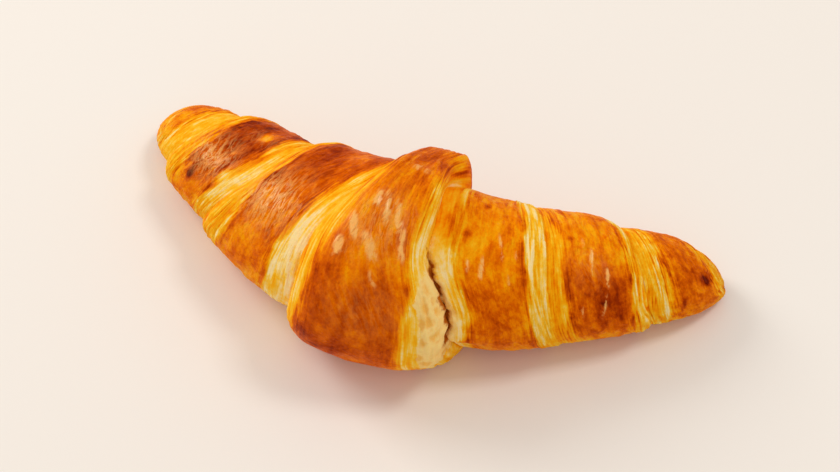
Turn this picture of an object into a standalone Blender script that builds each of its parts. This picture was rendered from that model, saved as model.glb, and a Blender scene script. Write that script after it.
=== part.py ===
# A croissant: one roll of laminated dough, bent at the middle and baked on a flat tray.
#
# The roll lies along X with both arms bending back towards +Y. A place on its skin is
# given by two numbers: its distance along the bent axis from the middle, below zero on
# the left arm, and its angle round the axis, from the back (0) over the top (90) and
# the front (180) to the underside (270). The dough sheet winds round the axis, so the
# edge of each arm's wraps is one spiral. It starts at the tail of the sheet, low on the
# back, and its turn in degrees grows by 360 with every wrap towards the tip of the arm.
import bpy
import numpy as np

NAME = "croissant"
METRES_PER_MM = 0.001

# The bare roll, without its wraps, in millimetres.
ROLL = {
    "half_width": 21.7,  # of the section at the middle, across the axis
    "flatness": 0.81,  # height of the section over its width
    "crown": 0.107,  # share of an arm over which the middle is rounded off
    "bend": 18.0,  # softness of the bend at the middle
    "pile": 7.5,  # height that the wraps add under the middle of the roll
    "sink": 5.4,  # how far the middle has sagged onto the tray
    "settle": 1.5,  # rounding between the flat base and the sides
    "lift_from": 0.35,  # share of an arm from which its tip is raised
}

# Each arm: its length along the axis, the angle at which it bends back, how much it
# narrows, how blunt its tip is, and how far the tip is raised. The pairs are (turn in
# degrees, millimetres): where the foot of the wrap's edge runs along the arm, how far
# the edge takes to swell out, and how far it stands proud.
LEFT = {
    "length": 84.7,
    "sweep": 33.8,
    "taper": 0.53,
    "bluntness": 11.0,
    "lift": 1.3,
    "foot": [
        (-60, -12), (50, 3), (105, 12), (175, 13), (290, 24), (420, 36.5),
        (455, 37.5), (525, 45), (785, 63), (880, 68.5), (1150, 83),
    ],
    "swell": [(-60, 5), (50, 7.5), (110, 10), (420, 8), (525, 10), (785, 5.6), (880, 7.5)],
    "rise": [
        (-60, 0), (0, 3.5), (50, 4.8), (175, 6.4), (250, 2.6), (420, 3.1),
        (525, 1.3), (785, 2.4), (880, 1.6), (1150, 0),
    ],
}
RIGHT = {
    "length": 90.8,
    "sweep": 28.5,
    "taper": 0.494,
    "bluntness": 9.3,
    "lift": 1.4,
    "foot": [
        (-60, 10), (0, 21), (22, 23.6), (36, 22), (47, 17.4), (58, 15.9), (70, 14.9), (84, 13.9),
        (110, 12.4), (150, 17), (190, 17.5), (290, 30), (410, 40.5), (510, 40.5), (655, 54), (780, 63.5), (900, 67), (1125, 83), (1300, 93),
    ],
    "swell": [
        (-60, 5), (0, 6.3), (50, 5.5), (80, 6), (120, 9), (180, 11), (410, 9),
        (545, 10), (900, 9), (1300, 4),
    ],
    "rise": [
        (-60, 0), (0, 4), (30, 9), (50, 7), (80, 6.5), (120, 5.2), (190, 6.8), (250, 3.6),
        (410, 0.3), (545, 0.3), (655, 0.4), (780, 2.2), (900, 0.8), (1000, 0.8), (1300, 0),
    ],
}
TAIL_ANGLE = -60.0  # where the spiral starts, low on the back
WRAPS = 4  # turns of the spiral on the longer arm
MIDDLE = 12.0  # half the stretch over which one arm's values pass into the other's
SEAM = {"depth": 1.0, "outside": 4.0, "inside": 1.0}  # the dip along a wrap's foot
TIP_FADE = 0.12  # share of an arm over which the wraps run out into its tip

# The mesh: rings of the skin, closer together along the feet of the wraps.
COLUMNS = 64
ROWS = 64
FOOT_CLOSENESS = 2.6
FOOT_REACH = 2.5
PROFILE_SAMPLES = 900
AXIS_REACH = 120.0
AXIS_SAMPLES = 2401

CRUST_COLOUR = (0.56, 0.23, 0.045, 1.0)
CRUST_ROUGHNESS = 0.4


def clear_scene():
    for thing in list(bpy.data.objects):
        bpy.data.objects.remove(thing, do_unlink=True)


def ease(x):
    x = np.clip(x, 0, 1)
    return x * x * (3 - 2 * x)


def through(pairs, turn):
    """A smooth curve through (turn, value) pairs, read at each turn."""
    turns, values = np.array(pairs, float).T
    spans = np.diff(turns)
    grades = np.diff(values) / spans
    slopes = np.empty_like(values)
    slopes[0], slopes[-1] = grades[0], grades[-1]
    slopes[1:-1] = (grades[:-1] * spans[1:] + grades[1:] * spans[:-1]) / (spans[1:] + spans[:-1])
    turn = np.clip(turn, turns[0], turns[-1])
    k = np.clip(np.searchsorted(turns, turn, side="right") - 1, 0, len(spans) - 1)
    x = (turn - turns[k]) / spans[k]
    start = (1 + 2 * x) * (1 - x) ** 2 * values[k] + x * (1 - x) ** 2 * spans[k] * slopes[k]
    end = x * x * (3 - 2 * x) * values[k + 1] - x * x * (1 - x) * spans[k] * slopes[k + 1]
    return start + end


def across_middle(along, key):
    """A value of the arms, passing smoothly from the left one's to the right one's."""
    share = ease((along + MIDDLE) / (2 * MIDDLE))
    return LEFT[key] * (1 - share) + RIGHT[key] * share


def share_of_arm(along):
    """0 at the middle and 1 at either tip."""
    length = np.where(along < 0, LEFT["length"], RIGHT["length"])
    return np.clip(np.abs(along) / length, 0, 1)


def axis_at(along):
    """Place and direction of the roll's axis, in plan."""
    x = np.linspace(-AXIS_REACH, AXIS_REACH, AXIS_SAMPLES)
    slope = np.tan(np.radians(across_middle(x, "sweep")))
    y = np.hypot(ROLL["bend"], x * slope) - ROLL["bend"]
    travel = np.concatenate([[0], np.cumsum(np.hypot(np.diff(x), np.diff(y)))])
    travel -= np.interp(0, x, travel)
    step_x = np.interp(along, travel, np.gradient(x, travel))
    step_y = np.interp(along, travel, np.gradient(y, travel))
    size = np.hypot(step_x, step_y)
    place = (np.interp(along, travel, x), np.interp(along, travel, y))
    return place, (step_x / size, step_y / size)


def half_width(along):
    """Half the width of the bare roll."""
    share = share_of_arm(along)
    crown = ROLL["crown"]
    fall = (np.hypot(share, crown) - crown) / (np.hypot(1, crown) - crown)
    closing = np.sqrt(np.maximum(1 - share ** across_middle(along, "bluntness"), 0))
    return ROLL["half_width"] * (1 - across_middle(along, "taper") * fall) * closing


def wraps_at(along, degrees):
    """For each wrap, its turn and how far a place lies outside its left and right foot."""
    first = (degrees - TAIL_ANGLE) % 360 + TAIL_ANGLE
    for wrap in range(WRAPS):
        turn = first + 360 * wrap
        yield turn, -along - through(LEFT["foot"], turn), along - through(RIGHT["foot"], turn)


def swelling(outside, width):
    """0 outside a wrap's foot, rising to 1 within it."""
    return 1 - (1 - np.clip(-outside / width, 0, 1)) ** 3


def seam(outside, rise):
    """The narrow dip along a wrap's foot, which runs out where the wrap does."""
    fade = np.where(outside > 0, SEAM["outside"], SEAM["inside"])
    return SEAM["depth"] * np.minimum(1, rise) * np.exp(-np.abs(outside) / fade)


def wrap_height(along, degrees):
    """Thickness of all the wraps that cover a place."""
    height = np.zeros(np.broadcast(along, degrees).shape)
    right_share = ease((along + MIDDLE / 2) / MIDDLE)
    for turn, outside_left, outside_right in wraps_at(along, degrees):
        rise_left = through(LEFT["rise"], turn)
        rise_right = through(RIGHT["rise"], turn)
        cover_left = swelling(outside_left, through(LEFT["swell"], turn))
        cover_right = swelling(outside_right, through(RIGHT["swell"], turn))
        rise = rise_left * (1 - right_share) + rise_right * right_share
        height += rise * cover_left * cover_right
        height -= seam(outside_left, rise_left) * cover_right * (1 - right_share)
        height -= seam(outside_right, rise_right) * cover_left * right_share
    return height * ease((1 - share_of_arm(along)) / TIP_FADE)


def skin(along, degrees):
    """Points of the baked skin, in millimetres, its underside pressed flat at z = 0."""
    (x, y), (step_x, step_y) = axis_at(along)
    share = share_of_arm(along)
    width = half_width(along)
    wraps = wrap_height(along, degrees)
    angle = np.radians(degrees)
    outwards = (width + wraps) * np.cos(angle)
    upwards = (width * ROLL["flatness"] + wraps) * np.sin(angle)
    centre = width * ROLL["flatness"] + ROLL["pile"] * (1 - share)
    raised = ease((share - ROLL["lift_from"]) / (1 - ROLL["lift_from"]))
    centre += across_middle(along, "lift") * raised
    centre -= ROLL["sink"] * width / ROLL["half_width"]
    z = centre + upwards
    settle = ROLL["settle"]
    z = np.where(z < settle, np.maximum(z + settle, 0) ** 2 / (4 * settle), z)
    return np.stack([x - step_y * outwards, y + step_x * outwards, z], axis=-1)


def columns_at(degrees):
    """Distances along the axis for one row of the mesh, closer together at the feet."""
    along = np.linspace(-LEFT["length"], RIGHT["length"], PROFILE_SAMPLES)
    profile = np.hypot(np.diff(along), np.diff(half_width(along)))
    middle = (along[1:] + along[:-1]) / 2
    closeness = np.ones_like(middle)
    for turn, outside_left, outside_right in wraps_at(middle, degrees):
        for arm, outside in ((LEFT, outside_left), (RIGHT, outside_right)):
            presence = FOOT_CLOSENESS * np.minimum(1, through(arm["rise"], turn))
            closeness += presence * np.exp(-((outside / FOOT_REACH) ** 2))
    travel = np.concatenate([[0], np.cumsum(profile * closeness)])
    return np.interp(np.linspace(0, travel[-1], COLUMNS + 1), travel, along)


def croissant_points():
    """The two tips, then the rings between them, centred over the origin."""
    degrees = np.arange(ROWS) * 360 / ROWS
    along = np.stack([columns_at(angle) for angle in degrees], axis=1)[1:-1]
    rings = skin(along, np.broadcast_to(degrees, along.shape))
    tips = skin(np.array([-LEFT["length"], RIGHT["length"]]), np.zeros(2))
    points = np.concatenate([tips, rings.reshape(-1, 3)])
    low, high = points.min(axis=0), points.max(axis=0)
    points[:, :2] -= (low[:2] + high[:2]) / 2
    return points * METRES_PER_MM


def croissant_faces():
    """Quads between the rings and a fan of triangles round each tip."""

    def corner(ring, row):
        return 2 + ring * ROWS + row % ROWS

    last = COLUMNS - 2
    faces = []
    for row in range(ROWS):
        faces.append((0, corner(0, row + 1), corner(0, row)))
        faces.append((1, corner(last, row), corner(last, row + 1)))
        for ring in range(last):
            near, far = corner(ring, row), corner(ring, row + 1)
            faces.append((near, far, corner(ring + 1, row + 1), corner(ring + 1, row)))
    return faces


def crust_material():
    material = bpy.data.materials.new("baked crust")
    material.use_nodes = True
    shader = material.node_tree.nodes["Principled BSDF"]
    shader.inputs["Base Color"].default_value = CRUST_COLOUR
    shader.inputs["Roughness"].default_value = CRUST_ROUGHNESS
    shader.inputs["Metallic"].default_value = 0.0
    return material


def make_croissant():
    mesh = bpy.data.meshes.new(NAME)
    mesh.from_pydata(croissant_points().tolist(), [], croissant_faces())
    mesh.materials.append(crust_material())
    mesh.shade_smooth()
    croissant = bpy.data.objects.new(NAME, mesh)
    bpy.context.scene.collection.objects.link(croissant)
    diagonals = croissant.modifiers.new("short diagonals", "TRIANGULATE")
    diagonals.quad_method = "SHORTEST_DIAGONAL"
    return croissant


clear_scene()
make_croissant()
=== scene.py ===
import math

import bpy
import numpy as np
from mathutils import Matrix, Vector


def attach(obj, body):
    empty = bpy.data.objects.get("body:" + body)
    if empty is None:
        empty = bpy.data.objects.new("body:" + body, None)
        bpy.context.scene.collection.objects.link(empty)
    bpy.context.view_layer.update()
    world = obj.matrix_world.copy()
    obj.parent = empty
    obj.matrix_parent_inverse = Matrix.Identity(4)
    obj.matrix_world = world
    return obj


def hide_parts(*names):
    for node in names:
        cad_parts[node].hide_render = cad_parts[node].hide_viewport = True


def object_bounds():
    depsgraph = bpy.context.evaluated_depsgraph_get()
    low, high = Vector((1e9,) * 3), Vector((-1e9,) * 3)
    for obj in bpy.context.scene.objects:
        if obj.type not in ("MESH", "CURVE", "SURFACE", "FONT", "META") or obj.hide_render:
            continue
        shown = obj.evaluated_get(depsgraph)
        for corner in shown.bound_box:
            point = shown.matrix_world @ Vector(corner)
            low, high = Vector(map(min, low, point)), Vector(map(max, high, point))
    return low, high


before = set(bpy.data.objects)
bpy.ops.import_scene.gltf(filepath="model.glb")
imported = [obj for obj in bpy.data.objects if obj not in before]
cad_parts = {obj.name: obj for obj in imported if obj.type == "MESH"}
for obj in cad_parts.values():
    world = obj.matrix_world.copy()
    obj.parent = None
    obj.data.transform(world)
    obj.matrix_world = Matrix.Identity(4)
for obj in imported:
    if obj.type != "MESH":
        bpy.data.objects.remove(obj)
solidLow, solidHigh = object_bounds()
mm = 0.001
print("frame loaded")

# ---- the rolled dough, with the same values as its solid, in millimetres

roll = {
    "halfWidth": 21.7,  # of the section at the middle, across the axis
    "flatness": 0.81,  # height of the section over its width
    "crown": 0.107,  # share of an arm over which the middle is rounded off
    "bend": 18.0,  # softness of the bend at the middle
    "pile": 7.5,  # height that the wraps add under the middle of the roll
    "sink": 5.4,  # how far the middle has sagged onto the tray
    "settle": 1.5,  # rounding between the flat base and the sides
    "liftFrom": 0.35,  # share of an arm from which its tip is raised
    "middle": 12.0,  # half the stretch over which one arm passes into the other
    "tailAngle": -60.0,  # where the spiral starts, low on the back
    "wraps": 4,  # turns of the spiral on the longer arm
    "seamDepth": 1.0,  # the dip along a wrap's foot
    "seamOutside": 4.0,
    "seamInside": 1.0,
    "tipFade": 0.12,  # share of an arm over which the wraps run out into its tip
    "axisReach": 120.0,
    "axisSamples": 2401,
}
leftArm = {
    "length": 84.7,
    "sweep": 33.8,
    "taper": 0.53,
    "bluntness": 11.0,
    "lift": 1.3,
    "foot": [
        (-60, -12), (50, 3), (105, 12), (175, 13), (290, 24), (420, 36.5),
        (455, 37.5), (525, 45), (785, 63), (880, 68.5), (1150, 83),
    ],
    "swell": [(-60, 5), (50, 7.5), (110, 10), (420, 8), (525, 10), (785, 5.6), (880, 7.5)],
    "rise": [
        (-60, 0), (0, 3.5), (50, 4.8), (175, 6.4), (250, 2.6), (420, 3.1),
        (525, 1.3), (785, 2.4), (880, 1.6), (1150, 0),
    ],
}
rightArm = {
    "length": 90.8,
    "sweep": 28.5,
    "taper": 0.494,
    "bluntness": 9.3,
    "lift": 1.4,
    "foot": [
        (-60, 10), (0, 21), (22, 23.6), (36, 22), (47, 17.4), (58, 15.9), (70, 14.9), (84, 13.9),
        (110, 12.4), (150, 17), (190, 17.5), (290, 30), (410, 40.5), (510, 40.5), (655, 54),
        (780, 63.5), (900, 67), (1125, 83), (1300, 93),
    ],
    "swell": [
        (-60, 5), (0, 6.3), (50, 5.5), (80, 6), (120, 9), (180, 11), (410, 9),
        (545, 10), (900, 9), (1300, 4),
    ],
    "rise": [
        (-60, 0), (0, 4), (30, 9), (50, 7), (80, 6.5), (120, 5.2), (190, 6.8), (250, 3.6),
        (410, 0.3), (545, 0.3), (655, 0.4), (780, 2.2), (900, 0.8), (1000, 0.8), (1300, 0),
    ],
}


def ease(x):
    x = np.clip(x, 0, 1)
    return x * x * (3 - 2 * x)


def through(pairs, turn):  # a smooth curve through (turn, value) pairs
    turns, values = np.array(pairs, float).T
    spans = np.diff(turns)
    grades = np.diff(values) / spans
    slopes = np.empty_like(values)
    slopes[0], slopes[-1] = grades[0], grades[-1]
    slopes[1:-1] = (grades[:-1] * spans[1:] + grades[1:] * spans[:-1]) / (spans[1:] + spans[:-1])
    turn = np.clip(turn, turns[0], turns[-1])
    k = np.clip(np.searchsorted(turns, turn, side="right") - 1, 0, len(spans) - 1)
    x = (turn - turns[k]) / spans[k]
    start = (1 + 2 * x) * (1 - x) ** 2 * values[k] + x * (1 - x) ** 2 * spans[k] * slopes[k]
    end = x * x * (3 - 2 * x) * values[k + 1] - x * x * (1 - x) * spans[k] * slopes[k + 1]
    return start + end


def straight(pairs, turn):  # straight lines between (turn, value) pairs
    turns, values = np.array(pairs, float).T
    return np.interp(turn, turns, values)


def acrossMiddle(along, key):
    share = ease((along + roll["middle"]) / (2 * roll["middle"]))
    return leftArm[key] * (1 - share) + rightArm[key] * share


def shareOfArm(along):
    length = np.where(along < 0, leftArm["length"], rightArm["length"])
    return np.clip(np.abs(along) / length, 0, 1)


def axisAt(along):  # place and direction of the axis, in plan
    x = np.linspace(-roll["axisReach"], roll["axisReach"], roll["axisSamples"])
    slope = np.tan(np.radians(acrossMiddle(x, "sweep")))
    y = np.hypot(roll["bend"], x * slope) - roll["bend"]
    travel = np.concatenate([[0], np.cumsum(np.hypot(np.diff(x), np.diff(y)))])
    travel -= np.interp(0, x, travel)
    stepX = np.interp(along, travel, np.gradient(x, travel))
    stepY = np.interp(along, travel, np.gradient(y, travel))
    size = np.hypot(stepX, stepY)
    return (np.interp(along, travel, x), np.interp(along, travel, y)), (stepX / size, stepY / size)


def halfWidthAt(along):
    share = shareOfArm(along)
    crown = roll["crown"]
    fall = (np.hypot(share, crown) - crown) / (np.hypot(1, crown) - crown)
    closing = np.sqrt(np.maximum(1 - share ** acrossMiddle(along, "bluntness"), 0))
    return roll["halfWidth"] * (1 - acrossMiddle(along, "taper") * fall) * closing


def firstTurn(degrees):
    return (degrees - roll["tailAngle"]) % 360 + roll["tailAngle"]


def wrapsAt(along, degrees):  # each wrap's turn, and how far a place is outside its feet
    for wrap in range(roll["wraps"]):
        turn = firstTurn(degrees) + 360 * wrap
        outsideLeft = -along - through(leftArm["foot"], turn)
        outsideRight = along - through(rightArm["foot"], turn)
        yield turn, outsideLeft, outsideRight


def swelling(outside, width):
    return 1 - (1 - np.clip(-outside / width, 0, 1)) ** 3


def seam(outside, rise):
    fade = np.where(outside > 0, roll["seamOutside"], roll["seamInside"])
    return roll["seamDepth"] * np.minimum(1, rise) * np.exp(-np.abs(outside) / fade)


def wrapHeight(along, degrees):
    height = np.zeros(np.broadcast(along, degrees).shape)
    rightShare = ease((along + roll["middle"] / 2) / roll["middle"])
    for turn, outsideLeft, outsideRight in wrapsAt(along, degrees):
        riseLeft = through(leftArm["rise"], turn)
        riseRight = through(rightArm["rise"], turn)
        coverLeft = swelling(outsideLeft, through(leftArm["swell"], turn))
        coverRight = swelling(outsideRight, through(rightArm["swell"], turn))
        rise = riseLeft * (1 - rightShare) + riseRight * rightShare
        height += rise * coverLeft * coverRight
        height -= seam(outsideLeft, riseLeft) * coverRight * (1 - rightShare)
        height -= seam(outsideRight, riseRight) * coverLeft * rightShare
    return height * ease((1 - shareOfArm(along)) / roll["tipFade"])


def axisHeight(along):
    share = shareOfArm(along)
    width = halfWidthAt(along)
    centre = width * roll["flatness"] + roll["pile"] * (1 - share)
    centre += acrossMiddle(along, "lift") * ease((share - roll["liftFrom"]) / (1 - roll["liftFrom"]))
    return centre - roll["sink"] * width / roll["halfWidth"]


# ---- what the solid leaves out: curled lip, crack, and how each band was baked

# Pairs are (turn of the wrap's foot in degrees, millimetres).
edgeForm = {
    "lean": [(-60, 0), (0, 0.4), (40, 0.5), (60, 0.6), (110, 0.4), (200, 0.4), (300, 0)],
    "tuck": [(-60, 0), (0, 0.8), (30, 1.8), (50, 2.6), (64, 2.2), (85, 1.2), (110, 0.6), (300, 0)],
    "rim": [(-60, 0), (20, 0.1), (42, 0.3), (56, 0.3), (75, 0.2), (100, 0.1), (300, 0)],
    "rimPlace": 2.2,
    "rimWidth": 1.5,
    "crack": [(92, 0), (104, 0.8), (116, 1.8), (150, 2.1), (188, 1.9), (206, 1.2), (222, 0)],
    "crackHalfWidth": 0.8,
    "crackWaver": 0.7,
    "bulge": [(110, 0), (128, 0.7), (150, 1.3), (185, 1.2), (205, 0)],  # the crumb face
    "underLip": 1.8,  # how far the right arm swells under the lip
    "noseLines": [(1.1, 0.3), (2.6, 0.4), (4.5, 0.45), (6.6, 0.5)],  # inside the lip's edge, half width
    "noseDepth": 0.4,
    "noseBrown": 0.24,
    "lowEnd": 1.9,  # how far the crumb face draws in at its lower end
    "lipDip": 1.3,  # how far the middle is lower behind the lip
    "bulgePlace": 3.2,
    "bulgeWidth": 2.2,
}

# How brown each band is: 0 is pale cream, 0.3 gold, 0.5 orange, 0.75 red-brown, 1 burnt.
# "cut" is the width of the laminated cut edge, and "pale" that of the covered margin.
leftBake = {
    "cut": [(-60, 2), (50, 2.5), (100, 5.5), (150, 4), (250, 4), (420, 5), (460, 4), (480, 5.5),
            (500, 7), (520, 9), (600, 7), (780, 5.5), (820, 6), (870, 7), (1000, 5), (1150, 4)],
    "cutBrown": [(-60, 0.42), (50, 0.4), (100, 0.37), (150, 0.39), (190, 0.38), (420, 0.41),
                 (480, 0.38), (520, 0.38), (780, 0.38), (840, 0.31), (870, 0.35), (1150, 0.4)],
    "crustBrown": [(-60, 0.6), (360, 0.6), (420, 0.76), (450, 0.74), (475, 0.64), (500, 0.61),
                   (525, 0.54), (560, 0.46), (640, 0.5), (720, 0.6), (775, 0.8), (820, 0.76),
                   (860, 0.6), (880, 0.5), (910, 0.44), (1000, 0.45), (1080, 0.5), (1125, 0.52),
                   (1155, 0.5), (1185, 0.4), (1230, 0.36), (1400, 0.42)],
    "pale": [(-60, 3), (60, 4), (80, 5), (105, 5.5), (140, 7), (190, 6.5), (250, 5), (420, 5.5),
             (450, 4.8), (480, 7), (500, 5.5), (530, 4), (600, 4), (785, 6.5), (870, 7), (1150, 6)],
    "paleBrown": [(-60, 0.45), (60, 0.42), (85, 0.27), (105, 0.12), (130, 0.05), (190, 0.1),
                  (250, 0.24), (420, 0.3), (450, 0.25), (480, 0.15), (500, 0.17), (530, 0.3),
                  (600, 0.34), (785, 0.24), (870, 0.27), (1150, 0.4)],
}
rightBake = {
    "cut": [(-60, 2), (20, 1.2), (45, 2.0), (60, 2.6), (75, 3.2), (92, 3.5), (110, 3.8),
            (130, 5.2), (150, 8.5), (200, 9), (250, 5),
            (410, 5), (545, 5), (655, 4), (780, 2.5), (900, 4.5), (1000, 3), (1200, 1.5)],
    "cutBrown": [(-60, 0.45), (20, 0.46), (60, 0.36), (80, 0.27), (110, 0.2), (150, 0.2),
                 (200, 0.26), (300, 0.4), (410, 0.21), (480, 0.21), (520, 0.29), (600, 0.36),
                 (780, 0.28), (860, 0.3), (900, 0.34), (1140, 0.45)],
    "crustBrown": [(-60, 0.6), (360, 0.55), (420, 0.5), (460, 0.5), (490, 0.56), (540, 0.62),
                   (600, 0.5), (720, 0.52), (780, 0.52), (825, 0.55), (850, 0.7), (885, 0.72),
                   (905, 0.55), (960, 0.45), (1080, 0.55), (1140, 0.6), (1200, 0.64),
                   (1250, 0.58), (1290, 0.45), (1400, 0.4)],
    "pale": [(-60, 3), (50, 4.5), (90, 4.5), (105, 5.5), (135, 5), (160, 3.6), (200, 3.6),
             (410, 4), (545, 4.5), (780, 6), (870, 6.5), (1000, 5), (1200, 3)],
    "paleBrown": [(-60, 0.5), (60, 0.52), (85, 0.5), (98, 0.2), (120, 0.12), (150, 0.12),
                  (190, 0.16), (250, 0.3), (410, 0.44), (545, 0.44), (700, 0.42), (780, 0.3),
                  (870, 0.35), (1000, 0.38), (1140, 0.42), (1400, 0.38)],
}
middleBake = [(-60, 0.5), (0, 0.6), (44, 0.64), (56, 0.64), (66, 0.57), (90, 0.54), (120, 0.56),
              (140, 0.62), (165, 0.66), (180, 0.72), (196, 0.68), (215, 0.58), (300, 0.5)]

# Patches that baked darker or stayed lighter: along, degrees, their reach each way,
# and the change in brownness. The lighter patches at 112 degrees on the left arm are painted highlight over
# its shining creases.
bakedPatches = [
    (-50, 66, 8, 20, 0.08), (-47, 70, 1.8, 8, -0.48), (-54, 90, 5, 9, 0.1),
    # (-55, 112) and (-27, 112) are painted highlight, lighter over the shining creases.
    (-56.3, 143, 1.2, 7.5, 0.6), (-56, 128, 1.6, 9, 0.2), (-55, 112, 7, 13, -0.06),
    (-52, 158, 7, 10, -0.03), (-40, 55, 3, 14, 0.1), (-25, 72, 5, 18, 0.1),
    (-27, 112, 6, 14, -0.1), (-30, 148, 4, 14, -0.05), (-17, 55, 6, 16, -0.1),
    (-76, 60, 5, 18, 0.1), (-77, 85, 4, 12, -0.04), (8, 52, 5, 7, 0.05),
    (0, 80, 5, 7, 0.05), (1, 148, 7, 12, 0.05),
    (0, 180, 7, 9, 0.08), (-6, 135, 2, 10, 0.07), (21, 91, 1.2, 2.6, 0.3),
    (26.5, 64, 1, 2.2, 0.3), (24, 76, 5, 9, 0.05), (28, 150, 4, 18, 0.1),
    (48, 85, 1, 2.4, 0.26), (57, 55, 1.2, 3, 0.25), (55.5, 146, 4.5, 18, 0.14),
    (47, 170, 4, 12, -0.1),
    (83.4, 122, 1.6, 8, 0.6), (80, 112, 3, 14, 0.12), (76.5, 158, 0.8, 8, 0.3),
    (62.4, 155, 0.6, 9, 0.35), (66, 157, 0.6, 9, 0.3), (72, 165, 3, 12, -0.12),
    (28, 198, 10, 12, -0.12), (48, 200, 9, 12, -0.14), (73, 198, 8, 12, -0.14),
    (87, 110, 2, 30, -0.14), (64, 95, 0.5, 40, 0.12), (67.5, 150, 0.5, 14, 0.25),
    (24, 80, 8, 24, -0.09), (50, 88, 8, 26, -0.09), (36.5, 90, 2, 60, -0.02), (19, 66, 3.5, 20, -0.1),
    (76, 105, 7, 30, -0.07), (28, 175, 8, 14, -0.04), (11, 160, 2, 26, -0.16), (28, 150, 9, 30, -0.03),
]

# Long raised blisters, each with a painted highlight along it: along, degrees, half their width, half their
# length in degrees, how far they slant in millimetres per degree, and how light each painted highlight is.
blisterHighlights = [
    (-1.5, 93, 1.3, 5, 0.05, 1), (1.3, 96, 1.2, 9, 0.1, 1), (4.4, 99, 1.1, 10, 0.12, 1),
    (6.4, 112, 0.9, 9, 0.05, 1), (-4, 109, 1.1, 7, 0.2, 1), (0.2, 117, 1.4, 7, 0.22, 1),
    (-5, 121, 1.3, 6, 0.1, 0.9), (6.4, 66, 3.0, 3, 0, 0.7), (2, 132, 0.8, 5, 0.2, 0.6),
    (21, 114, 0.5, 5, 0, 0.7), (24.3, 115, 0.55, 9, -0.05, 1), (29.2, 98, 0.5, 10, 0.03, 0.8),
    (30.8, 121, 0.5, 5, 0, 0.9), (52.3, 105, 0.6, 12, -0.02, 1), (56, 118, 0.6, 10, -0.02, 0.9),
    (54.7, 146, 0.5, 13, -0.06, 0.7), (48.8, 149, 0.45, 8, 0, 0.6), (50.7, 91, 0.5, 8, 0, 0.6),
    (33, 102, 0.5, 5, 0, 0.6), (-40, 96, 0.5, 8, 0.1, 0.4),
]

# Where the skin is leathery and blistered under its glaze, with painted highlights along its creases:
# along, degrees, reaches.
wrinkledPatches = [
    (-54, 114, 7, 20, 1.0), (-28, 113, 8, 19, 1.0), (0, 104, 7, 16, 0.4), (-47, 72, 5, 10, 0.3),
    (52, 112, 5, 16, 0.15), (2, 150, 7, 16, 0.15),
]


def waver(turn, seed):  # a slow wander along an edge, from about -1 to 1
    angle = np.radians(turn)
    wander = np.sin(3.1 * angle + seed) + 0.7 * np.sin(7.3 * angle + 2.1 * seed)
    return (wander + 0.5 * np.sin(17.7 * angle + 3.7 * seed)) / 2.2


def feetAt(degrees):
    turns = [firstTurn(degrees) + 360 * wrap for wrap in range(roll["wraps"])]
    left = [-through(leftArm["foot"], turn) for turn in turns]
    right = [through(rightArm["foot"], turn) for turn in turns]
    return turns, left, right


def bandsAt(along, degrees):
    # For each place: the side it is on (-1, 0 for the middle wrap, 1), its own wrap's
    # turn, its distance inside its own foot, and its distance to the foot that covers it.
    turns, left, right = feetAt(degrees)
    tipLeft, tipRight = -leftArm["length"] - 2, rightArm["length"] + 4
    side = np.zeros(along.shape)
    turn = turns[0].copy()
    own = np.minimum(along - left[0], right[0] - along)
    cover = np.full(along.shape, 99.0)
    across = (along - left[0]) / np.maximum(right[0] - left[0], 1)
    done = (along > left[0]) & (along < right[0])
    for wrap in range(1, roll["wraps"] + 1):
        last = wrap == roll["wraps"]
        outerLeft = np.full(along.shape, tipLeft) if last else left[wrap]
        outerRight = np.full(along.shape, tipRight) if last else right[wrap]
        outerLeft = np.minimum(outerLeft, left[wrap - 1] - 0.5)
        outerRight = np.maximum(outerRight, right[wrap - 1] + 0.5)
        onLeft = ~done & (along <= left[wrap - 1]) & (along > outerLeft)
        onLeft &= (along < right[wrap - 1])
        onRight = ~done & ~onLeft & (along >= right[wrap - 1]) & (along < outerRight)
        for here, sign, outer, inner in (
            (onLeft, -1, outerLeft, left[wrap - 1]),
            (onRight, 1, outerRight, right[wrap - 1]),
        ):
            side[here] = sign
            turn[here] = turns[0][here] + 360 * wrap
            own[here] = np.abs(along - outer)[here]
            cover[here] = np.abs(along - inner)[here]
            share = own / np.maximum(own + cover, 0.5)
            share = share if sign < 0 else 1 - share
            across[here] = (share + sign * wrap)[here]
        done |= onLeft | onRight
    return {"side": side, "turn": turn, "own": own, "cover": cover, "across": across,
            "left": left[0], "right": right[0], "first": turns[0]}


def blendBand(value, band, edge, softness, distance):
    share = 1 - ease((distance - edge + softness) / (2 * softness))
    return value * (1 - share) + band * share


def patch(along, degrees, place, angle, reach, spread):
    return np.exp(-(((along - place) / reach) ** 2) - ((degrees - angle) / spread) ** 2)


# The painted highlights along the raised blisters, from 0 to 1.
def blisterHighlightsAt(along, degrees):
    light = np.zeros(along.shape)
    for place, angle, halfWidth, spread, slant, amount in blisterHighlights:
        aside = (along - place - slant * (degrees - angle)) / halfWidth
        shape = np.exp(-(aside**2) - ((degrees - angle) / spread) ** 4)
        light = np.maximum(light, amount * shape)
    return light


def noseLinesAt(along, degrees, bands):  # the curled lip's turns, seen along its edge
    inside = bands["right"] - along
    lines = sum(np.exp(-(((inside - place) / width) ** 2)) for place, width in edgeForm["noseLines"])
    return lines * patch(along, degrees, 18, 44, 7, 18) * (bands["side"] == 0)


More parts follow.
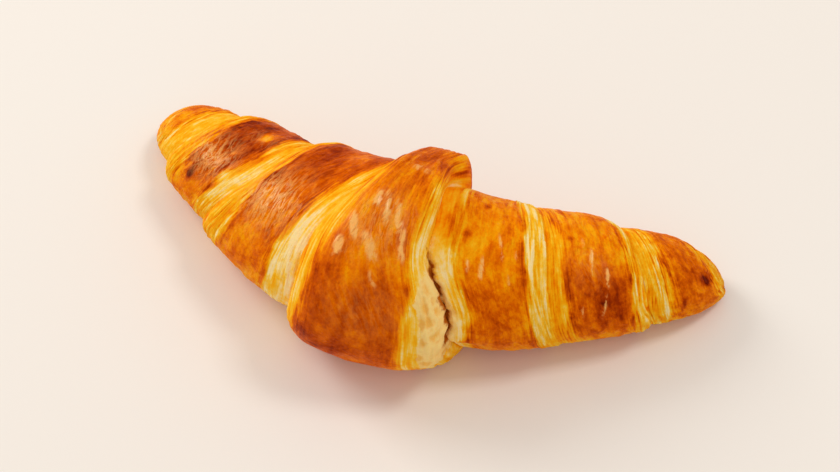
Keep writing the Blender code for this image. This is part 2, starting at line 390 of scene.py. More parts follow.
def bakeAt(along, degrees, bands):  # brownness and the masks of each finish
    side, turn, own, cover = (bands[key] for key in ("side", "turn", "own", "cover"))
    first = bands["first"]
    inMiddle = side == 0
    brown = np.empty(along.shape)
    cutMask = np.zeros(along.shape)
    paleMask = np.zeros(along.shape)
    feather = np.zeros(along.shape)
    for sign, bake in ((-1, leftBake), (1, rightBake)):
        here = side == sign
        level = straight(bake["crustBrown"], turn)
        cutWidth = straight(bake["cut"], turn) + 0.6 * waver(turn, 1.3 + sign)
        paleWidth = straight(bake["pale"], turn - 360) + 0.7 * waver(turn, 4.1 + sign)
        level = blendBand(level, straight(bake["cutBrown"], turn), cutWidth, 0.7, own)
        level = blendBand(level, straight(bake["paleBrown"], turn - 360), paleWidth, 1.3, cover)
        brown[here] = level[here]
        cutMask[here] = (1 - ease((own - cutWidth + 0.6) / 1.2))[here]
        paleMask[here] = (1 - ease((cover - paleWidth + 1.2) / 2.4))[here]
        near = np.exp(-(((own - cutWidth) / 1.5) ** 2)) + np.exp(-(((cover - paleWidth) / 2.4) ** 2))
        feather[here] = near[here]
    level = straight(middleBake, first)
    cut = np.zeros(along.shape)
    for bake, distance in ((leftBake, along - bands["left"]), (rightBake, bands["right"] - along)):
        width = straight(bake["cut"], first) + 0.5 * waver(first, 2.7)
        level = blendBand(level, straight(bake["cutBrown"], first), width, 0.7, distance)
        cut = np.maximum(cut, 1 - ease((distance - width + 0.6) / 1.2))
        feather[inMiddle] += np.exp(-(((distance - width) / 1.5) ** 2))[inMiddle]
    brown[inMiddle] = level[inMiddle]
    cutMask[inMiddle] = cut[inMiddle]
    for place, angle, reach, spread, change in bakedPatches:
        brown += change * patch(along, degrees, place, angle, reach, spread)
    wrinkled = np.zeros(along.shape)
    for place, angle, reach, spread, amount in wrinkledPatches:
        wrinkled = np.maximum(wrinkled, amount * patch(along, degrees, place, angle, reach, spread))
    crumb = crumbAt(along, degrees, bands)
    curled = patch(along, degrees, 18, 44, 6, 13) * inMiddle
    paleLayers = 0.5 + 0.6 * patch(along, degrees, 67, 130, 5, 70)
    smoother = 1 - 0.7 * patch(along, degrees, 15, 112, 6, 36)
    smoother *= 1 - 0.8 * patch(along, degrees, 21, 62, 6, 26) * (side == 1)
    smoother *= 1 - 0.45 * ease((-along - 64) / 8)
    brown -= 0.2 * curled * (1 - cutMask)
    brown += edgeForm["noseBrown"] * noseLinesAt(along, degrees, bands)
    layered = (cutMask + paleLayers * paleMask) * smoother + 0.5 * curled
    under = ease((degrees - 222) / 26) * (1 - ease((degrees - 322) / 24))
    brown = brown * (1 - under) + 0.6 * under
    return {
        "brown": np.clip(brown, 0, 1),
        "layered": np.clip(layered, 0, 1.1) * (1 - under),
        "crust": np.clip(1 - cutMask - paleMask, 0, 1),
        "wrinkled": wrinkled,
        # where the blisters carry a painted highlight
        "light": blisterHighlightsAt(along, degrees),
        "crumb": crumb,
        "under": under,
        "feather": np.clip(feather, 0, 1) * (1 - under),
    }


def crumbAt(along, degrees, bands):  # the open face between the cut edge and the crack
    distance = bands["right"] - along
    window = ease((degrees - 112) / 20) * (1 - ease((degrees - 196) / 12))
    depth = 2.0 + 3.4 * ease((degrees - 118) / 25) + 0.4 * waver(4 * bands["first"], 2.2)
    face = window * (1 - ease((distance - depth + 0.5) / 1.0)) * (bands["side"] == 0)
    torn = window * (1 - ease((-distance - 1.4) / 1.4)) * (bands["side"] == 1)
    return np.maximum(face, 0.7 * torn)


def crackAt(along, degrees, bands):
    depth = straight([(-60, 0)] + edgeForm["crack"], bands["first"])
    ragged = waver(3 * bands["first"], 0.4) + 0.6 * waver(7 * bands["first"], 1.9)
    place = along - bands["right"] - edgeForm["crackWaver"] * ragged
    return depth, np.exp(-((place / edgeForm["crackHalfWidth"]) ** 2))


def extraHeight(along, degrees, bands):  # lip, crumb face and crack, over the solid's form
    inside = np.maximum(bands["right"] - along, 0)
    onTop = (bands["side"] == 0) & (along > 0)
    rim = np.exp(-(((inside - edgeForm["rimPlace"]) / edgeForm["rimWidth"]) ** 2))
    height = straight(edgeForm["rim"], bands["first"]) * rim * onTop
    face = np.exp(-(((inside - edgeForm["bulgePlace"]) / edgeForm["bulgeWidth"]) ** 2))
    height += straight([(-60, 0)] + edgeForm["bulge"], bands["first"]) * face * onTop
    height -= edgeForm["lowEnd"] * patch(along, degrees, 18.5, 200, 8, 15)
    height -= edgeForm["lipDip"] * patch(along, degrees, 5, 36, 7, 18) * (bands["side"] == 0)
    height -= edgeForm["noseDepth"] * noseLinesAt(along, degrees, bands)
    height += edgeForm["underLip"] * patch(along, degrees, 19, 50, 7, 24) * (bands["side"] == 1)
    depth, groove = crackAt(along, degrees, bands)
    return height - depth * groove


def leanAt(along, degrees, bands):  # how far the middle wrap's right edge hangs over
    width = through(rightArm["swell"], bands["first"])
    inside = bands["right"] - along
    share = np.clip(inside / width, 0, 1)
    over = straight(edgeForm["lean"], bands["first"]) * 6.75 * share * (1 - share) ** 2
    tuck = np.exp(-((inside / np.where(inside > 0, 1.4, 2.6)) ** 2))
    return over - straight(edgeForm["tuck"], bands["first"]) * tuck


# ---- the skin: rings of points, denser where the layers show

skinMesh = {
    "columns": 552,
    "rows": 178,
    "footDensity": 1.4,
    "footReach": 1.6,
    "layerDensity": 0.9,
    "layerReach": 5.0,
    "lipDensity": 2.2,
    "lipReach": 3.2,
    "underDensity": 0.45,  # of the rows, on the hidden underside
    "samples": 1600,
}


def rowAngles():
    degrees = np.linspace(0, 360, 1441)
    density = np.where((degrees > 235) & (degrees < 315), skinMesh["underDensity"], 1.0)
    kernel = np.ones(81) / 81
    density = np.convolve(np.tile(density, 3), kernel, "same")[1441:2882]
    travel = np.concatenate([[0], np.cumsum((density[1:] + density[:-1]) / 2)])
    return np.interp(np.arange(skinMesh["rows"]) * travel[-1] / skinMesh["rows"], travel, degrees)


def columnsAt(degrees):
    along = np.linspace(-leftArm["length"], rightArm["length"], skinMesh["samples"])
    profile = np.hypot(np.diff(along), np.diff(halfWidthAt(along)))
    middle = (along[1:] + along[:-1]) / 2
    density = np.ones_like(middle)
    for turn, outsideLeft, outsideRight in wrapsAt(middle, degrees):
        for arm, outside in ((leftArm, outsideLeft), (rightArm, outsideRight)):
            presence = np.minimum(1, through(arm["rise"], turn))
            atFoot = np.exp(-((outside / skinMesh["footReach"]) ** 2))
            density += presence * skinMesh["footDensity"] * atFoot
            inside = np.exp(-(((outside + 2.5) / skinMesh["layerReach"]) ** 2))
            density += presence * skinMesh["layerDensity"] * inside
    edge = middle - through(rightArm["foot"], firstTurn(degrees)) + 1.0
    openEdge = ease((firstTurn(degrees) - 5) / 30) * (1 - ease((firstTurn(degrees) - 205) / 30))
    density += openEdge * skinMesh["lipDensity"] * np.exp(-((edge / skinMesh["lipReach"]) ** 2))
    travel = np.concatenate([[0], np.cumsum(profile * density)])
    return np.interp(np.linspace(0, travel[-1], skinMesh["columns"] + 1), travel, along)


def plainSkin(along, degrees):
    (x, y), (stepX, stepY) = axisAt(along)
    outwards = (halfWidthAt(along) + wrapHeight(along, degrees)) * np.cos(np.radians(degrees))
    return x - stepY * outwards, y + stepX * outwards


def skinPlaces():
    degrees = rowAngles()
    along = np.stack([columnsAt(angle) for angle in degrees], axis=1)[1:-1]
    degrees = np.broadcast_to(degrees, along.shape)
    along = np.concatenate([[-leftArm["length"], rightArm["length"]], along.ravel()])
    return along, np.concatenate([[90.0, 90.0], degrees.ravel()])


def skinFaces():
    rows, last = skinMesh["rows"], skinMesh["columns"] - 2
    row = np.arange(rows)
    after = (row + 1) % rows
    leftFan = np.stack([np.zeros(rows, int), 2 + after, 2 + row], axis=1)
    rightFan = np.stack([np.ones(rows, int), 2 + last * rows + row, 2 + last * rows + after], axis=1)
    ring = 2 + rows * np.arange(last)[:, None]
    quads = np.stack([ring + row, ring + after, ring + rows + after, ring + rows + row], axis=-1)
    return leftFan.tolist() + rightFan.tolist() + quads.reshape(-1, 4).tolist()


def addFloats(mesh, name, values):
    mesh.attributes.new(name, "FLOAT", "POINT").data.foreach_set("value", values.astype(np.float32))


def addVectors(mesh, name, values):
    layer = mesh.attributes.new(name, "FLOAT_VECTOR", "POINT")
    layer.data.foreach_set("vector", values.astype(np.float32).ravel())


def doughSheet():
    # The flat sheet's points, each carrying what the roll needs: its place on the axis,
    # the direction across it, its height and angle, and how it was baked.
    along, degrees = skinPlaces()
    (x, y), (stepX, stepY) = axisAt(along)
    plainX, plainY = plainSkin(along, degrees)
    middleX = (plainX.min() + plainX.max()) / 2 - (solidLow.x + solidHigh.x) / 2 / mm
    middleY = (plainY.min() + plainY.max()) / 2 - (solidLow.y + solidHigh.y) / 2 / mm
    bands = bandsAt(along, degrees)
    baked = bakeAt(along, degrees, bands)
    fade = ease((1 - shareOfArm(along)) / roll["tipFade"])
    depth, groove = crackAt(along, degrees, bands)
    axis = np.stack([x - middleX, y - middleY, axisHeight(along)], axis=1)
    mesh = bpy.data.meshes.new("dough sheet")
    mesh.from_pydata((axis * mm).tolist(), [], skinFaces())
    addVectors(mesh, "sideways", np.stack([-stepY, stepX, 0 * x], axis=1))
    addFloats(mesh, "halfWidth", halfWidthAt(along) * mm)
    addFloats(mesh, "cover", (wrapHeight(along, degrees) + extraHeight(along, degrees, bands)) * mm)
    addFloats(mesh, "lean", leanAt(along, degrees, bands) * fade * mm)
    addFloats(mesh, "angle", np.radians(degrees))
    grain = np.stack([24 * bands["across"], np.radians(bands["first"]) * 20, 0 * x], axis=1)
    addVectors(mesh, "grain", grain)
    # The "light" attribute holds where the painted blister highlights go.
    for name in ("brown", "layered", "crust", "wrinkled", "light", "crumb", "under", "feather"):
        addFloats(mesh, name, baked[name])
    # The "crack" attribute marks where the groove's painted shade goes.
    addFloats(mesh, "crack", groove * np.clip(depth / 2, 0, 1))
    return mesh, (-middleX, -middleY)


# ---- helpers for node trees


def addNode(tree, kind, inputs=None, **settings):
    node = tree.nodes.new(kind)
    for name, value in settings.items():
        setattr(node, name, value)
    for name, value in (inputs or {}).items():
        feed(tree, node.inputs[name], value)
    return node


def feed(tree, socket, value):
    if isinstance(value, bpy.types.NodeSocket):
        tree.links.new(value, socket)
    elif value is not None:
        socket.default_value = value


def maths(tree, operation, *values, clamp=False):
    node = tree.nodes.new("ShaderNodeMath")
    node.operation = operation
    node.use_clamp = clamp
    for socket, value in zip(node.inputs, values):
        feed(tree, socket, value)
    return node.outputs[0]


def vectorMaths(tree, operation, *values, scale=None):
    node = tree.nodes.new("ShaderNodeVectorMath")
    node.operation = operation
    for socket, value in zip(node.inputs, values):
        feed(tree, socket, value)
    if scale is not None:
        feed(tree, node.inputs["Scale"], scale)
    return node.outputs["Vector"]


def mapped(tree, value, fromLow, fromHigh, toLow=0.0, toHigh=1.0):
    node = addNode(tree, "ShaderNodeMapRange", clamp=True, interpolation_type="SMOOTHSTEP")
    for name, number in (
        ("Value", value), ("From Min", fromLow), ("From Max", fromHigh),
        ("To Min", toLow), ("To Max", toHigh),
    ):
        feed(tree, node.inputs[name], number)
    return node.outputs["Result"]


def noise(tree, vector, scale=1.0, detail=2.0, roughness=0.5, distortion=0.0):
    inputs = {"Vector": vector, "Scale": scale, "Detail": detail, "Roughness": roughness,
              "Distortion": distortion}
    return addNode(tree, "ShaderNodeTexNoise", inputs).outputs["Fac"]


def cells(tree, vector, scale=1.0, randomness=1.0):
    inputs = {"Vector": vector, "Scale": scale, "Randomness": randomness}
    return addNode(tree, "ShaderNodeTexVoronoi", inputs).outputs["Distance"]


def addSockets(tree, inputs, outputs):
    for name, kind, value in inputs:
        socket = tree.interface.new_socket(name, in_out="INPUT", socket_type=kind)
        if value is not None:
            socket.default_value = value
    for name, kind in outputs:
        tree.interface.new_socket(name, in_out="OUTPUT", socket_type=kind)
    return tree.nodes.new("NodeGroupInput").outputs, tree.nodes.new("NodeGroupOutput").inputs


# ---- rolling the sheet, and its relief

doughForm = {
    "Flatness": roll["flatness"],
    "Settle": roll["settle"] * mm,
    "Ridge height": 0.32 * mm,
    "Ridge spacing": 0.95,
    "Leaf height": 0.26 * mm,
    "Leaf spacing": 2.1,
    "Wrinkle height": 0.42 * mm,
    "Streak height": 0.12 * mm,
    "Lump height": 1.1 * mm,
    "Blister height": 0.45 * mm,
    "Blister size": 3.4,
    "Unevenness": 0.7 * mm,
    "Unevenness size": 19 * mm,
    "Crumb depth": 0.9 * mm,
    "Crumb size": 1.7,
}


def namedFloat(tree, name):
    node = addNode(tree, "GeometryNodeInputNamedAttribute", {"Name": name}, data_type="FLOAT")
    return node.outputs["Attribute"]


def namedVector(tree, name):
    node = addNode(tree, "GeometryNodeInputNamedAttribute", {"Name": name}, data_type="FLOAT_VECTOR")
    return node.outputs["Attribute"]


def rolled(tree, given):  # where each point of the sheet lies once rolled
    axis = addNode(tree, "GeometryNodeInputPosition").outputs[0]
    sideways = namedVector(tree, "sideways")
    halfWidth, cover = namedFloat(tree, "halfWidth"), namedFloat(tree, "cover")
    angle = namedFloat(tree, "angle")
    outwards = maths(tree, "MULTIPLY", maths(tree, "ADD", halfWidth, cover), maths(tree, "COSINE", angle))
    flat = maths(tree, "MULTIPLY_ADD", halfWidth, given["Flatness"], cover)
    upwards = maths(tree, "MULTIPLY", flat, maths(tree, "SINE", angle))
    place = vectorMaths(tree, "ADD", axis, vectorMaths(tree, "SCALE", sideways, scale=outwards))
    lengthwise = vectorMaths(tree, "CROSS_PRODUCT", sideways, (0, 0, 1))
    leant = vectorMaths(tree, "SCALE", lengthwise, scale=namedFloat(tree, "lean"))
    place = vectorMaths(tree, "ADD", place, leant)
    parts = addNode(tree, "ShaderNodeSeparateXYZ", {"Vector": place}).outputs
    z = maths(tree, "ADD", parts["Z"], upwards)
    sunk = maths(tree, "MAXIMUM", maths(tree, "ADD", z, given["Settle"]), 0.0)
    eased = maths(tree, "DIVIDE", maths(tree, "MULTIPLY", sunk, sunk),
                  maths(tree, "MULTIPLY", given["Settle"], 4.0))
    low = maths(tree, "LESS_THAN", z, given["Settle"])
    z = maths(tree, "ADD", z, maths(tree, "MULTIPLY", low, maths(tree, "SUBTRACT", eased, z)))
    return addNode(tree, "ShaderNodeCombineXYZ", {"X": parts["X"], "Y": parts["Y"], "Z": z}).outputs[0]


def grainAt(tree, grain, acrossSize, roundSize, shift=0.0):  # the grain's two directions, stretched
    scaled = vectorMaths(tree, "MULTIPLY", grain, (1 / acrossSize, 1 / roundSize, 0))
    return vectorMaths(tree, "ADD", scaled, (shift, shift * 0.7, shift * 1.3))


def ridges(tree, grain, spacing, height):  # stacked sheet edges: rounded tops, sharp valleys
    across = addNode(tree, "ShaderNodeSeparateXYZ", {"Vector": grain}).outputs["X"]
    wander = noise(tree, grainAt(tree, grain, 5, 26, 3.0), detail=1.0)
    place = maths(tree, "MULTIPLY_ADD", wander, 4.5, maths(tree, "DIVIDE", across, spacing))
    saw = maths(tree, "MULTIPLY", maths(tree, "PINGPONG", place, 0.5), 2.0)
    top = maths(tree, "SUBTRACT", 1.0, maths(tree, "POWER", maths(tree, "SUBTRACT", 1.0, saw), 2.0))
    strength = mapped(tree, noise(tree, grainAt(tree, grain, 2.6, 14, 8.0)), 0.3, 0.62, 0.25, 1.0)
    return maths(tree, "MULTIPLY", maths(tree, "MULTIPLY", top, strength), height)


def creases(tree, grain):  # narrow wandering folds of leathery crust: 1 along each, 0 between
    parts = addNode(tree, "ShaderNodeSeparateXYZ", {"Vector": grain}).outputs
    slanted = maths(tree, "MULTIPLY_ADD", parts["Y"], -0.3, parts["X"])
    slanted = addNode(tree, "ShaderNodeCombineXYZ", {"X": slanted, "Y": parts["Y"]}).outputs[0]
    wander = noise(tree, grainAt(tree, slanted, 1.1, 5.5, 20.0), detail=3.0, roughness=0.55, distortion=0.6)
    away = maths(tree, "ABSOLUTE", maths(tree, "MULTIPLY_ADD", wander, 2.0, -1.0))
    return maths(tree, "SUBTRACT", 1.0, maths(tree, "MULTIPLY", away, 4.5, clamp=True))


def crumbWalls(tree, grain, size):  # torn open cells, drawn out round the roll: 0 in each pit
    place = grainAt(tree, grain, 1.0, 2.0, 71.0)
    place = vectorMaths(tree, "SCALE", place, scale=maths(tree, "DIVIDE", 1.0, size))
    bent = noise(tree, place, detail=2.0)
    place = vectorMaths(tree, "ADD", place, addNode(tree, "ShaderNodeCombineXYZ", {"X": bent}).outputs[0])
    walls = mapped(tree, cells(tree, place), 0.1, 0.7)
    return maths(tree, "MULTIPLY", walls, mapped(tree, bent, 0.3, 0.6, 0.5, 1.0))


def relief(tree, given):
    grain = namedVector(tree, "grain")
    place = addNode(tree, "GeometryNodeInputPosition").outputs[0]
    layered, crust = namedFloat(tree, "layered"), namedFloat(tree, "crust")
    layers = ridges(tree, grain, given["Ridge spacing"], given["Ridge height"])
    leaves = ridges(tree, grain, given["Leaf spacing"], given["Leaf height"])
    height = maths(tree, "MULTIPLY", maths(tree, "ADD", layers, leaves), layered)
    folds = maths(tree, "MULTIPLY", creases(tree, grain), namedFloat(tree, "wrinkled"))
    folds = maths(tree, "MAXIMUM", folds, namedFloat(tree, "light"))
    height = maths(tree, "MULTIPLY_ADD", folds, given["Wrinkle height"], height)
    streak = noise(tree, grainAt(tree, grain, 0.9, 8.0, 31.0), detail=2.0)
    amount = maths(tree, "MULTIPLY", given["Streak height"], crust)
    height = maths(tree, "MULTIPLY_ADD", streak, amount, height)
    lump = noise(tree, grainAt(tree, grain, 4.2, 8.0, 43.0), detail=2.5, roughness=0.55, distortion=0.5)
    amount = maths(tree, "MULTIPLY", given["Lump height"], crust)
    height = maths(tree, "MULTIPLY_ADD", maths(tree, "SUBTRACT", lump, 0.5), amount, height)
    spots = cells(tree, vectorMaths(tree, "SCALE", grainAt(tree, grain, 1.0, 1.5, 11.0),
                                    scale=maths(tree, "DIVIDE", 1.0, given["Blister size"])))
    dome = maths(tree, "SUBTRACT", 1.0, maths(tree, "MULTIPLY", spots, 2.4, clamp=True))
    sparse = mapped(tree, noise(tree, grainAt(tree, grain, 9, 12, 5.0)), 0.45, 0.62)
    dome = maths(tree, "MULTIPLY", dome, sparse)
    amount = maths(tree, "MULTIPLY", given["Blister height"], crust)
    height = maths(tree, "MULTIPLY_ADD", dome, amount, height)
    pits = maths(tree, "SUBTRACT", crumbWalls(tree, grain, given["Crumb size"]), 0.5)
    amount = maths(tree, "MULTIPLY", given["Crumb depth"], namedFloat(tree, "crumb"))
    height = maths(tree, "MULTIPLY_ADD", pits, amount, height)
    wide = vectorMaths(tree, "SCALE", place, scale=maths(tree, "DIVIDE", 1.0, given["Unevenness size"]))
    swell = maths(tree, "SUBTRACT", noise(tree, wide, detail=1.5), 0.5)
    height = maths(tree, "MULTIPLY_ADD", swell, given["Unevenness"], height)
    return maths(tree, "MULTIPLY", height, maths(tree, "SUBTRACT", 1.0, namedFloat(tree, "under")))


def rolledDoughTree(material):
    tree = bpy.data.node_groups.new("rolled dough", "GeometryNodeTree")
    sizes = [(name, "NodeSocketFloat", value) for name, value in doughForm.items()]
    given, result = addSockets(
        tree,
        [("Geometry", "NodeSocketGeometry", None), ("Crust", "NodeSocketMaterial", None)] + sizes,
        [("Geometry", "NodeSocketGeometry")],
    )
    rolledUp = addNode(tree, "GeometryNodeSetPosition",
                       {"Geometry": given["Geometry"], "Position": rolled(tree, given)})
    normal = addNode(tree, "GeometryNodeInputNormal").outputs[0]
    offset = vectorMaths(tree, "SCALE", normal, scale=relief(tree, given))
    raised = addNode(tree, "GeometryNodeSetPosition", {"Geometry": rolledUp.outputs[0], "Offset": offset})
    above = addNode(tree, "ShaderNodeSeparateXYZ",
                    {"Vector": addNode(tree, "GeometryNodeInputPosition").outputs[0]}).outputs
    kept = addNode(tree, "ShaderNodeCombineXYZ",
                   {"X": above["X"], "Y": above["Y"], "Z": maths(tree, "MAXIMUM", above["Z"], 0.0)})
    rested = addNode(tree, "GeometryNodeSetPosition",
                     {"Geometry": raised.outputs[0], "Position": kept.outputs[0]})
    smooth = addNode(tree, "GeometryNodeSetShadeSmooth", {"Geometry": rested.outputs[0]})
    real = addNode(tree, "GeometryNodeRealizeInstances", {"Geometry": smooth.outputs[0]})
    dressed = addNode(tree, "GeometryNodeSetMaterial",
                      {"Geometry": real.outputs[0], "Material": given["Crust"]})
    tree.links.new(dressed.outputs[0], result["Geometry"])
    return tree


def settled(piece, tree, values):  # runs a tree on a piece and keeps its result as a plain mesh
    modifier = piece.modifiers.new(tree.name, "NODES")
    modifier.node_group = tree
    for item in tree.interface.items_tree:
        if item.in_out == "INPUT" and item.name in values:
            modifier[item.identifier] = values[item.name]
    graph = bpy.context.evaluated_depsgraph_get()
    mesh = bpy.data.meshes.new_from_object(piece.evaluated_get(graph))
    piece.modifiers.clear()
    piece.data = mesh
    return piece


# ---- the crust's finish

crustColours = [  # brownness, and the colour there
    (0.0, (1.0, 0.77, 0.36)),
    (0.07, (1.0, 0.69, 0.2)),
    (0.14, (1.0, 0.61, 0.08)),
    (0.22, (1.0, 0.53, 0.02)),
    (0.3, (0.99, 0.44, 0.006)),
    (0.42, (0.97, 0.33, 0.001)),
    (0.52, (0.9, 0.22, 0.0)),
    (0.64, (0.73, 0.125, 0.0)),
    (0.76, (0.53, 0.067, 0.0)),
    (0.88, (0.34, 0.03, 0.0)),
    (1.0, (0.14, 0.008, 0.001)),
]
crustFinish = {
    "crumbColour": (1.0, 0.7, 0.25, 1.0),
    "pitShadeColour": (0.93, 0.5, 0.1, 1.0),
    "crackShadeColour": (0.5, 0.13, 0.008, 1.0),
    # the colour of the painted highlights
    "glintColour": (1.0, 0.5, 0.13, 1.0),
    "specularTint": (1.0, 0.72, 0.3, 1.0),
    "specularLevel": 0.02,
    "glaze": 0.7,
}


def streakGroup():  # fine lines along the wraps, for colour and for relief
    tree = bpy.data.node_groups.new("baked streaks", "ShaderNodeTree")
    given, result = addSockets(
        tree,
        [("Grain", "NodeSocketVector", None), ("Width", "NodeSocketFloat", 0.9),
         ("Length", "NodeSocketFloat", 9.0), ("Shift", "NodeSocketFloat", 0.0)],
        [("Streaks", "NodeSocketFloat")],
    )
    parts = addNode(tree, "ShaderNodeSeparateXYZ", {"Vector": given["Grain"]}).outputs
    across = maths(tree, "DIVIDE", parts["X"], given["Width"])
    around = maths(tree, "DIVIDE", parts["Y"], given["Length"])
    sides = {"X": across, "Y": around, "Z": given["Shift"]}
    vector = addNode(tree, "ShaderNodeCombineXYZ", sides).outputs[0]
    tree.links.new(noise(tree, vector, detail=3.0, roughness=0.55, distortion=0.25), result["Streaks"])
    return tree


def swing(tree, value):  # a noise's middle stretch, sharpened, from -0.5 to 0.5
    return mapped(tree, value, 0.34, 0.66, -0.5, 0.5)


def placed(tree, group, **inputs):
    node = tree.nodes.new("ShaderNodeGroup")
    node.node_tree = group
    for name, value in inputs.items():
        feed(tree, node.inputs[name.capitalize()], value)
    return node.outputs[0]


def attribute(tree, name, output="Fac"):
    return addNode(tree, "ShaderNodeAttribute", attribute_name=name).outputs[output]


def mixedColour(tree, factor, first, second):
    node = addNode(tree, "ShaderNodeMix", data_type="RGBA")
    feed(tree, node.inputs[0], factor)
    feed(tree, node.inputs[6], first)
    feed(tree, node.inputs[7], second)
    return node.outputs[2]


def crustMaterial():
    material = bpy.data.materials.new("baked crust")
    material.use_nodes = True
    tree = material.node_tree
    shader = tree.nodes["Principled BSDF"]
    streaks = streakGroup()
    grain = attribute(tree, "grain", "Vector")
    place = addNode(tree, "ShaderNodeTexCoord").outputs["Object"]
    under = attribute(tree, "under")
    layered, crumb = attribute(tree, "layered"), attribute(tree, "crumb")
    wrinkled = attribute(tree, "wrinkled")
    crust = attribute(tree, "crust")
    feather = attribute(tree, "feather")
    fine = placed(tree, streaks, grain=grain, width=0.5, length=13.0, shift=1.0)
    grit = placed(tree, streaks, grain=grain, width=1.6, length=3.0, shift=23.0)
    broad = placed(tree, streaks, grain=grain, width=2.0, length=15.0, shift=7.0)
    mottle = noise(tree, grainAt(tree, grain, 4.0, 8.5, 51.0), detail=5.0, roughness=0.6, distortion=0.5)
    blotch = noise(tree, grainAt(tree, grain, 1.1, 3.0, 61.0), detail=4.0, roughness=0.62, distortion=0.8)
    speckle = noise(tree, place, scale=1 / (0.9 * mm), detail=3.0, roughness=0.6)
    layers = ridges(tree, grain, doughForm["Ridge spacing"], 1.0)
    leaves = ridges(tree, grain, doughForm["Leaf spacing"], 1.0)
    along = maths(tree, "SUBTRACT", 1.0, under)
    brown = attribute(tree, "brown")
    for value, amount, masks in (
        (swing(tree, fine), mapped(tree, layered, 0.0, 0.8, 0.03, 0.16), (along,)),
        (swing(tree, fine), 0.16, (feather,)),
        (swing(tree, broad), 0.1, (along,)),
        (swing(tree, broad), 0.34, (feather,)),
        (swing(tree, grit), 0.1, (along,)),
        (swing(tree, mottle), 0.16, (crust,)),
        (swing(tree, speckle), 0.06, ()),
        (maths(tree, "SUBTRACT", 0.42, layers), 0.14, (layered,)),
        (maths(tree, "SUBTRACT", 0.42, leaves), 0.2, (layered,)),
    ):
        for mask in masks:
            value = maths(tree, "MULTIPLY", value, mask)
        brown = maths(tree, "MULTIPLY_ADD", value, amount, brown)
    ramp = addNode(tree, "ShaderNodeValToRGB", {"Fac": brown})
    band = ramp.color_ramp
    while len(band.elements) < len(crustColours):
        band.elements.new(0.5)
    for element, (position, colour) in zip(band.elements, crustColours):
        element.position = position
        element.color = (*colour, 1.0)
    # Painted highlights: the blister streaks and the leathery creases are mixed towards the pale glint
    # colour in the base colour.
    light = attribute(tree, "light")
    spotted = maths(tree, "MULTIPLY_ADD", swing(tree, blotch), 1.1, light)
    nearStreak = mapped(tree, light, 0.05, 0.8, 0.0, 0.95)
    blisterGlint = maths(tree, "MULTIPLY", mapped(tree, spotted, 0.0, 1.2), nearStreak)
    creaseGlint = maths(tree, "MULTIPLY", maths(tree, "MULTIPLY", creases(tree, grain), wrinkled), 0.85)
    glint = maths(tree, "MAXIMUM", blisterGlint, creaseGlint)
    colour = mixedColour(tree, glint, ramp.outputs["Color"], crustFinish["glintColour"])
    walls = crumbWalls(tree, grain, doughForm["Crumb size"])
    # Painted shade: the crumb's pits are darker than its walls.
    openness = maths(tree, "MULTIPLY_ADD", swing(tree, speckle), 0.3, mapped(tree, walls, 0.0, 0.7))
    crumbly = mixedColour(tree, openness, crustFinish["pitShadeColour"], crustFinish["crumbColour"])
    ragged = maths(tree, "MULTIPLY_ADD", swing(tree, speckle), 0.5, crumb)
    colour = mixedColour(tree, mapped(tree, ragged, 0.25, 0.75), colour, crumbly)
    # Painted shade: the crack's groove is darkened towards a deep brown in the base colour.
    crackShade = maths(tree, "MULTIPLY_ADD", swing(tree, speckle), 0.25, attribute(tree, "crack"))
    colour = mixedColour(tree, mapped(tree, crackShade, 0.3, 0.8), colour, crustFinish["crackShadeColour"])
    tree.links.new(colour, shader.inputs["Base Color"])
    dull = maths(tree, "ADD", maths(tree, "MULTIPLY", layered, 0.12), maths(tree, "MULTIPLY", crumb, 0.35))
    shine = maths(tree, "MULTIPLY", wrinkled, -0.12)
    patchy = mapped(tree, mottle, 0.3, 0.7, 0.34, 0.5)
    roughness = maths(tree, "ADD", maths(tree, "ADD", dull, shine), patchy)
    tree.links.new(roughness, shader.inputs["Roughness"])
    pores = noise(tree, place, scale=1 / (0.9 * mm), detail=3.0, roughness=0.6)
    leather = placed(tree, streaks, grain=grain, width=1.1, length=2.6, shift=17.0)
    leather = maths(tree, "ABSOLUTE", maths(tree, "SUBTRACT", leather, 0.5))
    lines = placed(tree, streaks, grain=grain, width=0.5, length=12.0, shift=13.0)
    bumps = maths(tree, "MULTIPLY", pores, 0.4)
    leathery = mapped(tree, wrinkled, 0.0, 0.6, 1.5, 3.2)
    for value, amount in (
        (mottle, maths(tree, "MULTIPLY", crust, 2.2)),
        (leather, maths(tree, "MULTIPLY", leathery, crust)),
        (lines, mapped(tree, layered, 0.0, 0.8, 0.25, 1.1)),
    ):
        bumps = maths(tree, "MULTIPLY_ADD", value, maths(tree, "MULTIPLY", amount, along), bumps)
    bump = addNode(tree, "ShaderNodeBump", {"Strength": 1.0, "Distance": 0.45 * mm, "Height": bumps})
    tree.links.new(bump.outputs["Normal"], shader.inputs["Normal"])
    glaze = maths(tree, "MULTIPLY_ADD", glint, 0.6, maths(tree, "MULTIPLY", wrinkled, 0.04))
    coat = maths(tree, "MULTIPLY", maths(tree, "MULTIPLY", crust, glaze), crustFinish["glaze"])
    tree.links.new(coat, shader.inputs["Coat Weight"])
    shader.inputs["Coat Roughness"].default_value = 0.2
    shader.inputs["Specular IOR Level"].default_value = crustFinish["specularLevel"]
    shader.inputs["Specular Tint"].default_value = crustFinish["specularTint"]
    shader.inputs["Subsurface Weight"].default_value = 0.08
    shader.inputs["Subsurface Radius"].default_value = (1.0, 0.45, 0.12)
    shader.inputs["Subsurface Scale"].default_value = 2.0 * mm
    return material


def makeCroissant():
    mesh, middle = doughSheet()
    piece = bpy.data.objects.new("crust", mesh)
    bpy.context.scene.collection.objects.link(piece)
    material = crustMaterial()
    settled(piece, rolledDoughTree(material), {**doughForm, "Crust": material})
    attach(piece, "root")
    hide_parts("croissant")
    print("crust:", len(piece.data.vertices), "points")
    return piece, middle


# ---- floor, lights and camera

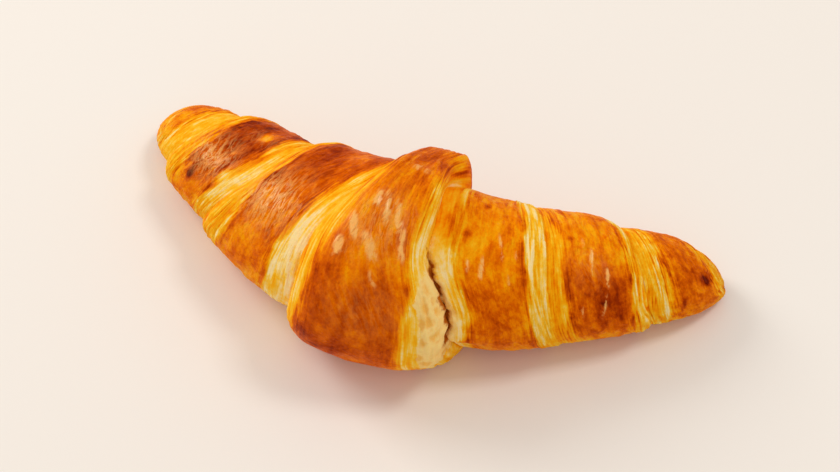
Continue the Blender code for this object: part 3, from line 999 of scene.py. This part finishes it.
studio = {
    "floorColour": (0.91, 0.87, 0.82, 1.0),
    "floorSize": 3.0,
    "targetHeight": 20 * mm,
    "distance": 543 * mm,
    "azimuth": 18.4,
    "elevation": 55.0,
    "lens": 90.0,
    "aimRight": 8.8 * mm,
    "aimUp": 5.3 * mm,
    "skyColour": (1.0, 0.94, 0.88, 1.0),
    "skyStrength": 0.61,
}
lamps = {  # azimuth from +X towards +Y, elevation, distance and size in metres, watts
    "window": {"azimuth": 166, "elevation": 34, "distance": 1.3, "size": 0.55, "power": 6.7},
    "ceiling": {"azimuth": 32, "elevation": 62, "distance": 1.2, "size": 0.3, "power": 3.0},
}
lampColour = (1.0, 0.97, 0.93)


def makeFloor():
    mesh = bpy.data.meshes.new("floor")
    half = studio["floorSize"] / 2
    corners = [(-half, -half, 0), (half, -half, 0), (half, half, 0), (-half, half, 0)]
    mesh.from_pydata(corners, [], [(0, 1, 2, 3)])
    floor = bpy.data.objects.new("floor", mesh)
    bpy.context.scene.collection.objects.link(floor)
    material = bpy.data.materials.new("pale floor")
    material.use_nodes = True
    shader = material.node_tree.nodes["Principled BSDF"]
    shader.inputs["Base Color"].default_value = studio["floorColour"]
    shader.inputs["Roughness"].default_value = 0.7
    mesh.materials.append(material)


def aimed(thing, place, target):
    thing.location = place
    thing.rotation_euler = (Vector(target) - Vector(place)).to_track_quat("-Z", "Y").to_euler()


def makeLights():
    for name, lamp in lamps.items():
        light = bpy.data.lights.new(name, "AREA")
        light.shape = "SQUARE"
        light.size = lamp["size"]
        light.energy = lamp["power"]
        light.color = lampColour
        thing = bpy.data.objects.new(name, light)
        bpy.context.scene.collection.objects.link(thing)
        azimuth, elevation = math.radians(lamp["azimuth"]), math.radians(lamp["elevation"])
        away = Vector((math.cos(azimuth), math.sin(azimuth), 0)) * math.cos(elevation)
        away.z = math.sin(elevation)
        aimed(thing, away * lamp["distance"], (0, 0, studio["targetHeight"]))
    world = bpy.data.worlds.new("soft room")
    world.use_nodes = True
    background = world.node_tree.nodes["Background"]
    background.inputs["Color"].default_value = studio["skyColour"]
    background.inputs["Strength"].default_value = studio["skyStrength"]
    bpy.context.scene.world = world


def makeCamera(middle):
    azimuth, elevation = math.radians(studio["azimuth"]), math.radians(studio["elevation"])
    back = Vector((
        math.sin(azimuth) * math.cos(elevation),
        -math.cos(azimuth) * math.cos(elevation),
        math.sin(elevation),
    ))
    right = Vector((math.cos(azimuth), math.sin(azimuth), 0))
    up = back.cross(right)
    target = Vector((middle[0] * mm, middle[1] * mm, studio["targetHeight"]))
    data = bpy.data.cameras.new("camera")
    data.lens = studio["lens"]
    data.sensor_width = 36.0
    data.clip_start = 0.01
    camera = bpy.data.objects.new("camera", data)
    bpy.context.scene.collection.objects.link(camera)
    camera.location = target + back * studio["distance"]
    aim = target + right * studio["aimRight"] + up * studio["aimUp"]
    away = (camera.location - aim).normalized()
    level = up.cross(away).normalized()  # turned towards the aim without rolling
    camera.rotation_euler = Matrix((level, away.cross(level), away)).transposed().to_euler()
    bpy.context.scene.camera = camera


croissant, middle = makeCroissant()
makeFloor()
makeLights()
makeCamera(middle)
bpy.context.scene.view_settings.view_transform = "Standard"
print("stage ready")
